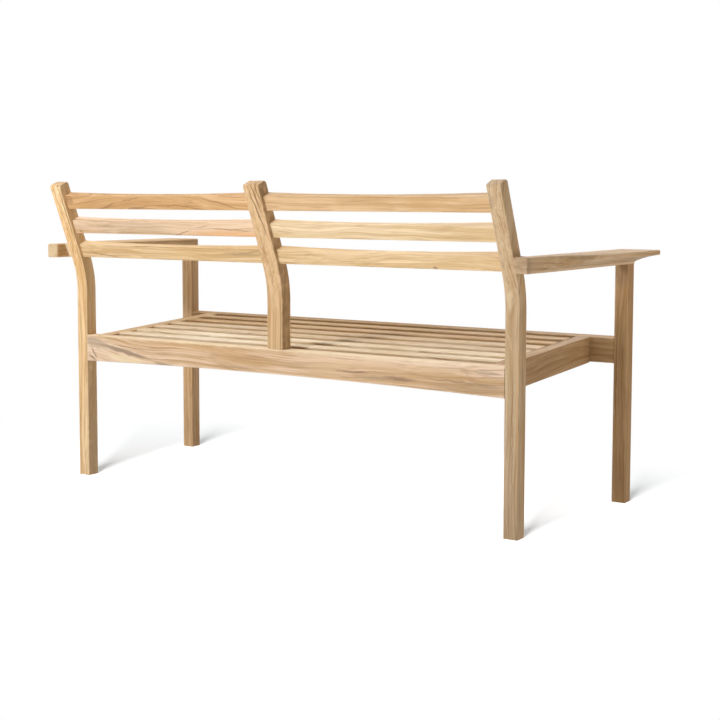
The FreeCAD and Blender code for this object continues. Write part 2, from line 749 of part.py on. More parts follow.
def make_armrest_spacer(name, side):
    """Block between the leg and the armrest, leaning with the leg, level above
    and below."""
    middle = f"({ARM_INNER} - spacer_thickness / 2)"
    body = new_body(f"armrest_spacer_{name}", x=f"{side} * {middle}")

    def on_lean(inset, height):
        return f"tan(back_lean) * ({height} - knee_height) - ({inset}) / cos(back_lean)"

    rear = "spacer_inset"
    front = "(leg_size - spacer_inset)"
    view = outline(body, "YZ_Plane", "Side", [
        corner(on_lean(rear, ARM_UNDERSIDE), ARM_UNDERSIDE),
        corner(on_lean(rear, "arm_height"), "arm_height"),
        corner(on_lean(front, "arm_height"), "arm_height"),
        corner(on_lean(front, ARM_UNDERSIDE), ARM_UNDERSIDE),
    ])
    pad(body, view, "spacer_thickness")
    for index in range(2):
        y, z = dowel_place(index)
        bore_x(body, "DowelHole", DOWEL_HOLE, "spacer_thickness", "-spacer_thickness / 2",
               y, z)
    return body


def make_armrest_dowels():
    """Two dowels a side, from the back leg through the spacer into the armrest."""
    body = new_body("armrest_dowels")
    length = "(spacer_thickness + 2 * dowel_depth - 2 * dowel_clearance)"
    middle = f"({ARM_INNER} - spacer_thickness / 2)"
    turned = FreeCAD.Rotation(FreeCAD.Vector(0, 1, 0), 90)
    for side in (-1, 1):
        for index in range(2):
            y, z = dowel_place(index)
            dowel = body.newObject("PartDesign::AdditiveCylinder", "Dowel")
            dowel.Placement = FreeCAD.Placement(FreeCAD.Vector(), turned)
            bind(dowel, Radius="dowel_diameter / 2", Height=length)
            bind(dowel, Placement__Base__x=f"{side} * {middle} - {length} / 2",
                 Placement__Base__y=y, Placement__Base__z=z)
    return body


# ---- the bench ----------------------------------------------------------------------------


def make_bench():
    """Every piece of the bench, each in its own body."""
    pieces = [make_middle_post(), make_rear_rail(), make_front_rail()]
    for name, side in (("left", -1), ("right", 1)):
        pieces.append(make_back_leg(name, side))
        pieces.append(make_front_leg(name, side))
        pieces.append(make_side_rail(name, side))
        pieces.append(make_armrest(name, side))
        pieces.append(make_armrest_spacer(name, side))
        pieces += [make_back_slat(name, side, row) for row in range(BACK_SLATS)]
    pieces += [make_seat_slat(index) for index in range(SEAT_SLATS)]
    pieces += [make_seat_bearer(), make_seat_screws(), make_armrest_dowels()]
    return pieces


def check(pieces):
    """Stop if any object of the document failed, or a piece has no sound shape."""
    failed = [thing.Name for thing in doc.Objects
              if "Invalid" in thing.State or "Error" in thing.State]
    if failed:
        raise RuntimeError(f"failed objects: {failed}")
    for piece in pieces:
        if piece.Shape.isNull() or not piece.Shape.isValid():
            raise RuntimeError(f"unsound shape: {piece.Label}")


bench = make_bench()
doc.recompute()
check(bench)
os.makedirs("parts", exist_ok=True)
for piece in bench:
    piece.Shape.exportStep(f"parts/{piece.Label}.step")
    print(f"{piece.Label}: {piece.Shape.Volume / 1000:.1f} cm3")
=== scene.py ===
"""Looks of the garden bench: teak for every piece, a pale floor, soft light, camera.

Places and lengths are in metres in the frame."""

import math
from typing import NamedTuple

import bpy
from mathutils import Matrix, Vector


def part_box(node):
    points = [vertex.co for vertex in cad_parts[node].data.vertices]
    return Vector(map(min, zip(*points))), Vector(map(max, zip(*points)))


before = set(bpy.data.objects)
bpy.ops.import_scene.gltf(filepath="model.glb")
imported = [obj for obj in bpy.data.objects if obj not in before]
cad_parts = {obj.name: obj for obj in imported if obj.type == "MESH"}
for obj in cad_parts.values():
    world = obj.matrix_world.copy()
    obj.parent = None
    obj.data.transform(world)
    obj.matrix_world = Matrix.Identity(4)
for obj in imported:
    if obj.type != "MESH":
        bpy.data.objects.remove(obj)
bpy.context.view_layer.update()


# ---- node building ---------------------------------------------------------------------

# a colour mix's sockets: its factor, its two colours and its result
MIX_FACTOR = 0
MIX_FIRST = 6
MIX_SECOND = 7
MIX_RESULT = 2


class Graph:
    """Adds nodes to a node tree; a socket's value is a number, a colour or a socket."""

    def __init__(self, tree):
        self.tree = tree

    def add(self, kind, inputs=None, **settings):
        node = self.tree.nodes.new(kind)
        for name, value in settings.items():
            setattr(node, name, value)
        for key, value in (inputs or {}).items():
            self.feed(node.inputs[key], value)
        return node

    def feed(self, socket, value):
        if isinstance(value, bpy.types.NodeSocket):
            self.tree.links.new(value, socket)
        else:
            socket.default_value = value

    def math(self, operation, *values):
        node = self.add("ShaderNodeMath", operation=operation)
        for socket, value in zip(node.inputs, values):
            self.feed(socket, value)
        return node.outputs[0]

    def vector(self, operation, *values):
        node = self.add("ShaderNodeVectorMath", operation=operation)
        for socket, value in zip(node.inputs, values):
            self.feed(socket, value)
        return node.outputs["Value" if operation in {"LENGTH", "DOT_PRODUCT"} else "Vector"]

    def total(self, start, *parts):
        """Start plus each part, which is a value and its weight."""
        for value, weight in parts:
            start = self.math("MULTIPLY_ADD", value, weight, start)
        return start

    def centred(self, value):
        return self.math("SUBTRACT", value, 0.5)

    def reverse(self, value):
        return self.math("SUBTRACT", 1.0, value)

    def step(self, value, low, high):
        """0 below low, 1 above high, smooth between."""
        node = self.add("ShaderNodeMapRange", {"Value": value}, interpolation_type="SMOOTHSTEP")
        self.feed(node.inputs["From Min"], low)
        self.feed(node.inputs["From Max"], high)
        return node.outputs["Result"]

    def noise(self, place, across, along, detail=2.0, roughness=0.5, seed=0.0, output="Fac"):
        """Noise with so many cells per metre across and along the local Z axis."""
        node = self.add("ShaderNodeTexNoise", noise_dimensions="4D")
        stretched = self.vector("MULTIPLY", place, (across, across, along))
        self.feed(node.inputs["Vector"], stretched)
        self.feed(node.inputs["W"], seed)
        node.inputs["Scale"].default_value = 1.0
        node.inputs["Detail"].default_value = detail
        node.inputs["Roughness"].default_value = roughness
        return node.outputs[output]

    def pushed(self, place, noise, reach):
        """Place moved aside by a noise's colour, by at most half of reach each way."""
        aside = self.vector("SUBTRACT", noise, (0.5, 0.5, 0.5))
        return self.vector("MULTIPLY_ADD", aside, reach, place)

    def scaled(self, colour, gain):
        node = self.add("ShaderNodeVectorMath", operation="SCALE")
        self.feed(node.inputs["Vector"], colour)
        self.feed(node.inputs["Scale"], gain)
        return node.outputs["Vector"]

    def mix(self, factor, first, second):
        colours = {MIX_FACTOR: factor, MIX_FIRST: first, MIX_SECOND: second}
        return self.add("ShaderNodeMix", colours, data_type="RGBA").outputs[MIX_RESULT]


# ---- teak: the figure that all pieces share --------------------------------------------

GROUP_INPUTS = {
    "Place": "NodeSocketVector", "End": "NodeSocketFloat", "Edge": "NodeSocketFloat",
    "Seed": "NodeSocketFloat", "Rings": "NodeSocketFloat", "Wander": "NodeSocketFloat",
    "Streaks": "NodeSocketFloat", "Pale": "NodeSocketColor", "Gold": "NodeSocketColor",
    "Line": "NodeSocketColor",
}
GROUP_OUTPUTS = {
    "Color": "NodeSocketColor", "Roughness": "NodeSocketFloat", "Height": "NodeSocketFloat",
}


class Noise(NamedTuple):
    """A noise of the figure: its cells per metre across and along the grain, a shift of
    the seed that sets it apart, and the values between which stepped() takes it from 0
    to 1."""

    across: float
    along: float
    shift: float
    detail: float = 2.0
    roughness: float = 0.5
    low: float = 0.0
    high: float = 1.0


NOISES = {
    "drift": Noise(6.0, 3.0, 3.0, detail=1.0),
    "wander": Noise(5.0, 1.3, 0.0, detail=1.0),
    "sway": Noise(16.0, 4.0, 7.0),
    "wobble": Noise(140.0, 12.0, 13.0),
    "ring_fade": Noise(14.0, 3.0, 17.0, detail=1.0, low=0.32, high=0.58),
    "broad": Noise(15.0, 1.6, 21.0),
    "narrow": Noise(70.0, 1.3, 23.0),
    "fine": Noise(210.0, 2.2, 27.0),
    "fibre": Noise(620.0, 7.0, 31.0, detail=3.0, roughness=0.6),
    "pores": Noise(420.0, 26.0, 37.0, low=0.58, high=0.74),
    "grain": Noise(240.0, 7.0, 41.0, low=0.50, high=0.70),
    "pore_patch": Noise(20.0, 5.0, 43.0, detail=1.0, low=0.35, high=0.62),
    "streak_track": Noise(30.0, 0.8, 53.0, roughness=0.4),
    "streak_stretch": Noise(9.0, 1.9, 59.0, detail=1.0, low=0.48, high=0.62),
}

# how far noise pushes the figure: in metres, and as a share of the piece's own wander
DRIFT_PUSH = (0.05, 0.05, 0.0)
WOBBLE_PUSH = 0.0016
WANDER_SHARE = 2.2
SWAY_SHARE = 0.5

# a ring: its width in metres, and where in it, as a share of the width, it is darkest and
# has paled again
RING_SPACING = 0.008
RING_DARKEST = 0.08
RING_PALE = 0.50

# a ring's strength is the least, plus the range times a chance number to this power, so few
# years are strong and most are faint; where a ring fades, this share of it stays
YEAR_LEAST = 0.12
YEAR_RANGE = 0.95
YEAR_POWER = 2.5
RING_KEPT = 0.25

# what the narrow bands, the fine bands and the years add to the broad bands, and between
# which values a band goes from pale to golden
NARROW_SHARE = 0.75
FINE_SHARE = 0.75
YEAR_SHARE = 0.14
BAND_EDGES = (0.22, 0.78)

# how much the grain's dashes, the pores and the end grain darken, and the light of the fibres
GRAIN_DARK = 0.30
PORE_DARK = 0.26
END_DARK = 0.08
LEAST_LIGHT = 0.90
FIBRE_LIGHT = 0.24

# a resin streak runs where its noise has this value, and is this wide in the noise's values
STREAK_VALUE = 0.57
STREAK_WIDTH = 0.010

# how much an edge is made paler, as wear and as a painted highlight along its arris, and less so
# in the grain's dashes
EDGE_WEAR_AND_HIGHLIGHT = 0.65
GRAIN_WEAR_AND_HIGHLIGHT = -0.3

# roughness, and what the fibres, end grain and handled edges add to it
ROUGH = 0.52
FIBRE_ROUGH = 0.14
END_ROUGH = 0.12
EDGE_ROUGH = -0.10

# how far ring lines and pores lie below the fibres, in the fibres' own height
LINE_HEIGHT = -0.4
PORE_HEIGHT = -0.8


class Figure(Graph):
    """Wood as a solid, cut from a log whose pith is the local Z axis."""

    def __init__(self, tree):
        super().__init__(tree)
        self.given = self.add("NodeGroupInput").outputs
        self.place = self.given["Place"]

    def named(self, name, output="Fac"):
        kind = NOISES[name]
        seed = self.math("ADD", self.given["Seed"], kind.shift)
        return self.noise(self.place, kind.across, kind.along, kind.detail, kind.roughness,
                          seed, output)

    def stepped(self, name):
        return self.step(self.named(name), NOISES[name].low, NOISES[name].high)

    def drift(self):
        """The fibres drift sideways along a piece, so that no band runs as if ruled."""
        self.place = self.pushed(self.place, self.named("drift", "Color"), DRIFT_PUSH)

    def rings(self):
        """How dark the ring lines are, and a chance number from 0 to 1 for each year. The
        rings wander slowly along the grain and wobble a little."""
        wander = self.named("wander")
        sway = self.named("sway")
        wobble = self.named("wobble")
        radius = self.vector("LENGTH", self.vector("MULTIPLY", self.place, (1.0, 1.0, 0.0)))
        shift = self.total(
            radius,
            (wander, self.math("MULTIPLY", self.given["Wander"], WANDER_SHARE)),
            (sway, self.math("MULTIPLY", self.given["Wander"], SWAY_SHARE)),
            (wobble, WOBBLE_PUSH))
        phase = self.math("DIVIDE", shift, RING_SPACING)
        year = self.math("FLOOR", phase)
        part = self.math("FRACT", phase)
        chance = self.add("ShaderNodeTexWhiteNoise", {"W": year}, noise_dimensions="1D")
        fate = chance.outputs["Value"]
        rise = self.step(part, 0.0, RING_DARKEST)
        fall = self.reverse(self.step(part, RING_DARKEST, RING_PALE))
        gain = self.total(YEAR_LEAST, (self.math("POWER", fate, YEAR_POWER), YEAR_RANGE))
        line = self.math("MULTIPLY", self.math("MULTIPLY", rise, fall), gain)
        kept = self.total(RING_KEPT, (self.stepped("ring_fade"), 1.0 - RING_KEPT))
        return self.math("MULTIPLY", line, kept), fate

    def bands(self, fate):
        """Bands of tone: broad soft ones, and narrower ones that keep to the grain."""
        broad = self.named("broad")
        narrow = self.named("narrow")
        fine = self.named("fine")
        band = self.total(
            broad, (self.centred(narrow), NARROW_SHARE), (self.centred(fine), FINE_SHARE),
            (self.centred(fate), YEAR_SHARE))
        return self.mix(self.step(band, *BAND_EDGES), self.given["Pale"], self.given["Gold"])

    def streaks(self):
        """Resin streaks: thin, dark, long."""
        track = self.named("streak_track")
        near = self.math("ABSOLUTE", self.math("SUBTRACT", track, STREAK_VALUE))
        thin = self.reverse(self.step(near, 0.0, STREAK_WIDTH))
        stretch = self.stepped("streak_stretch")
        return self.math("MULTIPLY", self.math("MULTIPLY", thin, stretch), self.given["Streaks"])


def make_teak_group():
    """The figure as a node group, so that every piece's material shares it."""
    tree = bpy.data.node_groups.new("teak_wood", "ShaderNodeTree")
    for side, sockets in (("INPUT", GROUP_INPUTS), ("OUTPUT", GROUP_OUTPUTS)):
        for name, kind in sockets.items():
            tree.interface.new_socket(name, in_out=side, socket_type=kind)
    graph = Figure(tree)
    given = graph.given
    graph.drift()
    line, fate = graph.rings()
    colour = graph.bands(fate)

    # fine fibres, dashes along the grain, and pores as short dark dashes in patches
    fibre = graph.named("fibre")
    pores = graph.stepped("pores")
    grain = graph.stepped("grain")
    patch = graph.stepped("pore_patch")
    dark = graph.total(
        graph.math("MULTIPLY", line, given["Rings"]), (grain, GRAIN_DARK),
        (graph.math("MULTIPLY", pores, patch), PORE_DARK))
    colour = graph.mix(dark, colour, given["Line"])
    colour = graph.scaled(colour, graph.total(LEAST_LIGHT, (fibre, FIBRE_LIGHT)))
    colour = graph.mix(graph.streaks(), colour, given["Line"])

    # end grain is a little darker and rougher; edges are smoother, and paler as wear and as a
    # painted highlight along the arris
    colour = graph.mix(graph.math("MULTIPLY", given["End"], END_DARK), colour, given["Line"])
    worn_and_highlit = graph.math("MULTIPLY", given["Edge"], graph.total(EDGE_WEAR_AND_HIGHLIGHT, (grain, GRAIN_WEAR_AND_HIGHLIGHT)))
    colour = graph.mix(worn_and_highlit, colour, given["Pale"])
    rough = graph.total(
        ROUGH, (fibre, FIBRE_ROUGH), (given["End"], END_ROUGH), (given["Edge"], EDGE_ROUGH))
    height = graph.total(fibre, (line, LINE_HEIGHT), (pores, PORE_HEIGHT))
    graph.add("NodeGroupOutput", {"Color": colour, "Roughness": rough, "Height": height})
    return tree


TEAK = make_teak_group()


# ---- teak: one piece -------------------------------------------------------------------

# how the pale, golden and dark parts of the wood differ from a piece's own colour, as
# gains of its linear red, green and blue
PALE = (1.16, 1.21, 1.33)
GOLD = (0.88, 0.80, 0.67)
LINE = (0.44, 0.30, 0.21)

# a mark is whole up to the first share of its half size and gone at the second
MARK_EDGES = (0.40, 1.10)

# how far the marks waver, in metres, and the noise that they waver by
MARK_PUSH = (0.012, 0.012, 0.012)
MARK_PUSH_SCALE = 42.0
MARK_PUSH_DETAIL = 4.0

# how squarely a face cuts the fibres where end grain starts and is whole, and how far a
# surface turns away from the faces where an edge starts and is whole
END_STEP = (0.75, 0.95)
EDGE_STEP = (0.06, 0.18)

# sets the figures of pieces with neighbouring seeds well apart
SEED_SPREAD = 17.3

BUMP_STRENGTH = 0.25
BUMP_DISTANCE = 0.0006
TEAK_SPECULAR = 0.35


def linear(red, green, blue):
    """Linear values of an sRGB colour given in 0..255, none of them below 11."""
    return [((channel / 255 + 0.055) / 1.055) ** 2.4 for channel in (red, green, blue)]


def shade(colour, gains=(1.0, 1.0, 1.0), contrast=1.0):
    """A socket's colour: an sRGB colour with each linear channel times its gain, which
    a contrast over 1 makes stronger."""
    pairs = zip(linear(*colour), gains)
    channels = [min(channel * gain ** contrast, 1.0) for channel, gain in pairs]
    return (*channels, 1.0)


class Mark(NamedTuple):
    """A soft-edged streak, knot or patch on a piece: its middle and half sizes in the
    frame, its depth from 0 to 1, its tone, and how far it slants: X with each metre of
    Z, and Z with each metre of X."""

    centre: tuple
    half: tuple
    depth: float
    tone: tuple
    x_by_z: float = 0.0
    z_by_x: float = 0.0


class Swirl(NamedTuple):
    """Where the fibres flow aside, as round a knot: the middle and half sizes of the
    stretch in the frame, and how far they are pushed at its middle."""

    centre: tuple
    half: tuple
    push: tuple


class Wood(NamedTuple):
    """How one piece was cut: the direction of its fibres, the way from its middle to
    the heart of the log, a face's normal, its own colour and the look of its figure."""

    grain: tuple
    pith: tuple
    face: tuple
    colour: tuple
    seed: int
    rings: float = 0.5
    wander: float = 0.02
    streaks: float = 0.3
    contrast: float = 1.0
    swirls: tuple = ()
    marks: tuple = ()


def add_mark(graph, place, colour, mark):
    offset = graph.vector("SUBTRACT", place, mark.centre)
    if mark.x_by_z or mark.z_by_x:
        parts = graph.add("ShaderNodeSeparateXYZ", {"Vector": offset}).outputs
        slanted = graph.add("ShaderNodeCombineXYZ", {
            "X": graph.total(parts["X"], (parts["Z"], -mark.x_by_z)), "Y": parts["Y"],
            "Z": graph.total(parts["Z"], (parts["X"], -mark.z_by_x))})
        offset = slanted.outputs["Vector"]
    away = graph.vector("LENGTH", graph.vector("DIVIDE", offset, mark.half))
    inside = graph.reverse(graph.step(away, *MARK_EDGES))
    return graph.mix(graph.math("MULTIPLY", inside, mark.depth), colour, shade(mark.tone))


def add_marks(graph, place, colour, marks):
    """The marks waver a little, as the grain does."""
    if not marks:
        return colour
    noise = graph.add("ShaderNodeTexNoise", {
        "Vector": place, "Scale": MARK_PUSH_SCALE, "Detail": MARK_PUSH_DETAIL})
    place = graph.pushed(place, noise.outputs["Color"], MARK_PUSH)
    for mark in marks:
        colour = add_mark(graph, place, colour, mark)
    return colour


def add_swirls(graph, place, swirls):
    for swirl in swirls:
        offset = graph.vector("SUBTRACT", place, swirl.centre)
        away = graph.vector("LENGTH", graph.vector("DIVIDE", offset, swirl.half))
        near = graph.reverse(graph.step(away, 0.0, 1.0))
        place = graph.vector("ADD", place, graph.scaled(swirl.push, near))
    return place


def make_teak(name, centre, wood):
    """Teak for one piece of wood, as its Wood entry says."""
    material = bpy.data.materials.new(name)
    material.use_nodes = True
    tree = material.node_tree
    tree.nodes.clear()
    graph = Graph(tree)
    grain = Vector(wood.grain).normalized()
    coords = graph.add("ShaderNodeTexCoord").outputs
    place = add_swirls(graph, coords["Object"], wood.swirls)
    mapping = graph.add("ShaderNodeMapping", {"Vector": place}, vector_type="TEXTURE")
    mapping.inputs["Location"].default_value = Vector(centre) + Vector(wood.pith)
    mapping.inputs["Rotation"].default_value = grain.to_track_quat("Z", "Y").to_euler()

    facing = graph.math("ABSOLUTE", graph.vector("DOT_PRODUCT", coords["Normal"], tuple(grain)))
    end = graph.step(facing, *END_STEP)
    across = graph.math("ABSOLUTE", graph.vector("DOT_PRODUCT", coords["Normal"], wood.face))
    turned = graph.math("MULTIPLY", across, graph.reverse(across))
    edge = graph.math("MULTIPLY", graph.step(turned, *EDGE_STEP), graph.reverse(end))
    teak = graph.add("ShaderNodeGroup", {
        "Place": mapping.outputs["Vector"], "End": end, "Edge": edge,
        "Seed": wood.seed * SEED_SPREAD, "Rings": wood.rings,
        "Wander": wood.wander, "Streaks": wood.streaks,
        "Pale": shade(wood.colour, PALE, wood.contrast),
        "Gold": shade(wood.colour, GOLD, wood.contrast),
        "Line": shade(wood.colour, LINE),
    }, node_tree=TEAK)

    colour = add_marks(graph, coords["Object"], teak.outputs["Color"], wood.marks)
    bump = graph.add("ShaderNodeBump", {
        "Height": teak.outputs["Height"], "Strength": BUMP_STRENGTH, "Distance": BUMP_DISTANCE})
    shader = graph.add("ShaderNodeBsdfPrincipled", {
        "Base Color": colour, "Roughness": teak.outputs["Roughness"],
        "Normal": bump.outputs["Normal"], "Specular IOR Level": TEAK_SPECULAR})
    graph.add("ShaderNodeOutputMaterial", {"Surface": shader.outputs["BSDF"]})
    return material


# ---- teak: every piece -----------------------------------------------------------------

# the tones that teak shows from piece to piece, some also used to paint shade where said so
BLOND = (235, 200, 150)
IVORY = (228, 207, 173)
CREAM = (220, 195, 155)
BEIGE = (215, 185, 150)
STRAW = (215, 185, 140)
GOLDEN = (210, 172, 125)
SAND = (208, 182, 146)
HONEY = (200, 165, 120)
FAWN = (190, 160, 122)
TAN = (188, 160, 122)
BROWN = (175, 140, 95)
NUT = (168, 135, 95)

# tones that only marks within a piece have: lines, knots, patches, painted shade and highlight
SAPWOOD_AND_HIGHLIGHT = (240, 220, 180)
AMBER = (220, 165, 105)
PAINTED_SHADE_UMBER = (155, 120, 80)
SMOKE = (150, 125, 100)
LATE_WOOD = (145, 100, 60)
PLUM = (115, 88, 68)
RESIN = (100, 70, 38)

# how far the back leans and the seat rises to the front, as in the part's source
LEAN = math.radians(22.0)
SLOPE = math.radians(3.25)

# the ways that fibres run and faces look
ALONG_X = (1.0, 0.0, 0.0)
ALONG_Y = (0.0, 1.0, 0.0)
UPRIGHT = (0.0, 0.0, 1.0)
ALONG_SEAT = (0.0, -math.cos(SLOPE), math.sin(SLOPE))
SEAT_UP = (0.0, math.sin(SLOPE), math.cos(SLOPE))
LEAN_BACK = (0.0, math.cos(LEAN), -math.sin(LEAN))

